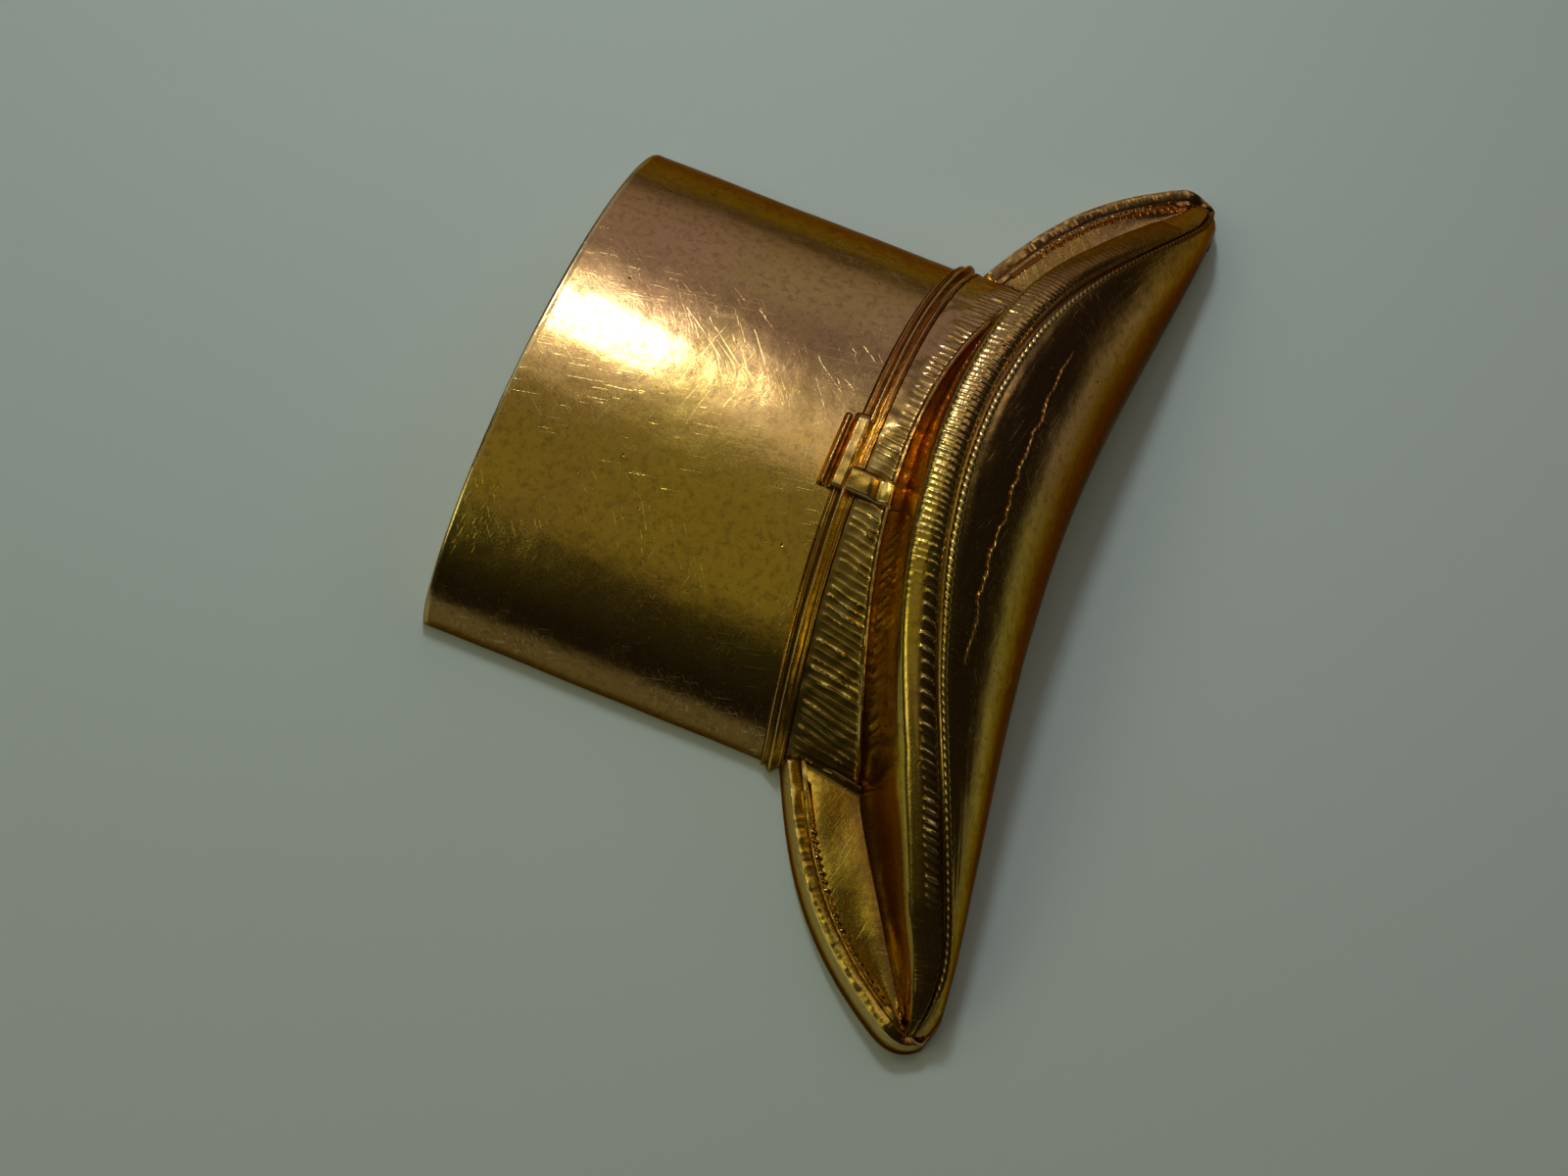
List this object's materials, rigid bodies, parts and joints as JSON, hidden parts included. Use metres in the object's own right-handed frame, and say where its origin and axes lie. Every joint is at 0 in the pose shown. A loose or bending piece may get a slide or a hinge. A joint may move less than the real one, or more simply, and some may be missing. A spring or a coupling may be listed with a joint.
{
  "type": "top hat cap badge",
  "caption": "Hollow high-relief brass badge shaped as a top hat with a drooping stitched brim, worn by a hinged pin and safety catch on its back.",
  "frame": {"origin": "centre of the footprint on the back plane, where the badge's rim rests", "axes": "+X along the brim from tip to tip, +Y to the top of the hat, +Z out of the badge's face"},
  "size_m": [0.04, 0.0232, 0.0092],
  "materials": {
    "struck_brass": "old polished gilding metal: coppery gold, fine random scratches, dark patina in the recesses",
    "fitting_brass": "dull unpolished brass of the back fittings",
    "pin_steel": "drawn nickel-plated steel wire"
  },
  "bodies": {
    "badge": {"crown_shell": "struck_brass", "crown_top_plate": "struck_brass", "band_welt": "struck_brass", "band_ribbon": "struck_brass", "bow_bar": "struck_brass", "bow_tail": "struck_brass", "brim_front_shell": "struck_brass", "brim_binding": "struck_brass", "brim_twisted_cord": "struck_brass", "brim_fine_cord": "struck_brass", "lobe_pan_left": "struck_brass", "lobe_pan_right": "struck_brass", "lobe_edge_roll_left": "struck_brass", "lobe_edge_roll_right": "struck_brass", "lobe_beading_left": "struck_brass", "lobe_beading_right": "struck_brass", "back_bar": "fitting_brass", "hinge_joint": "fitting_brass", "hinge_rivet": "pin_steel", "catch_base": "fitting_brass"},
    "pin": {"pin_stem": "pin_steel"},
    "sleeve": {"catch_sleeve": "fitting_brass"}
  },
  "joints": [
    {"name": "pin_hinge", "type": "hinge", "parent": "badge", "child": "pin", "pos_m": [-0.0062, 0.00201, 0.0019], "axis": [0, 1, 0], "range_deg": [0, 110]},
    {"name": "sleeve_turn", "type": "hinge", "parent": "badge", "child": "sleeve", "pos_m": [0.0056, 0.00201, 0.0019], "axis": [1, 0, 0], "range_deg": [-140, 0]}
  ]
}
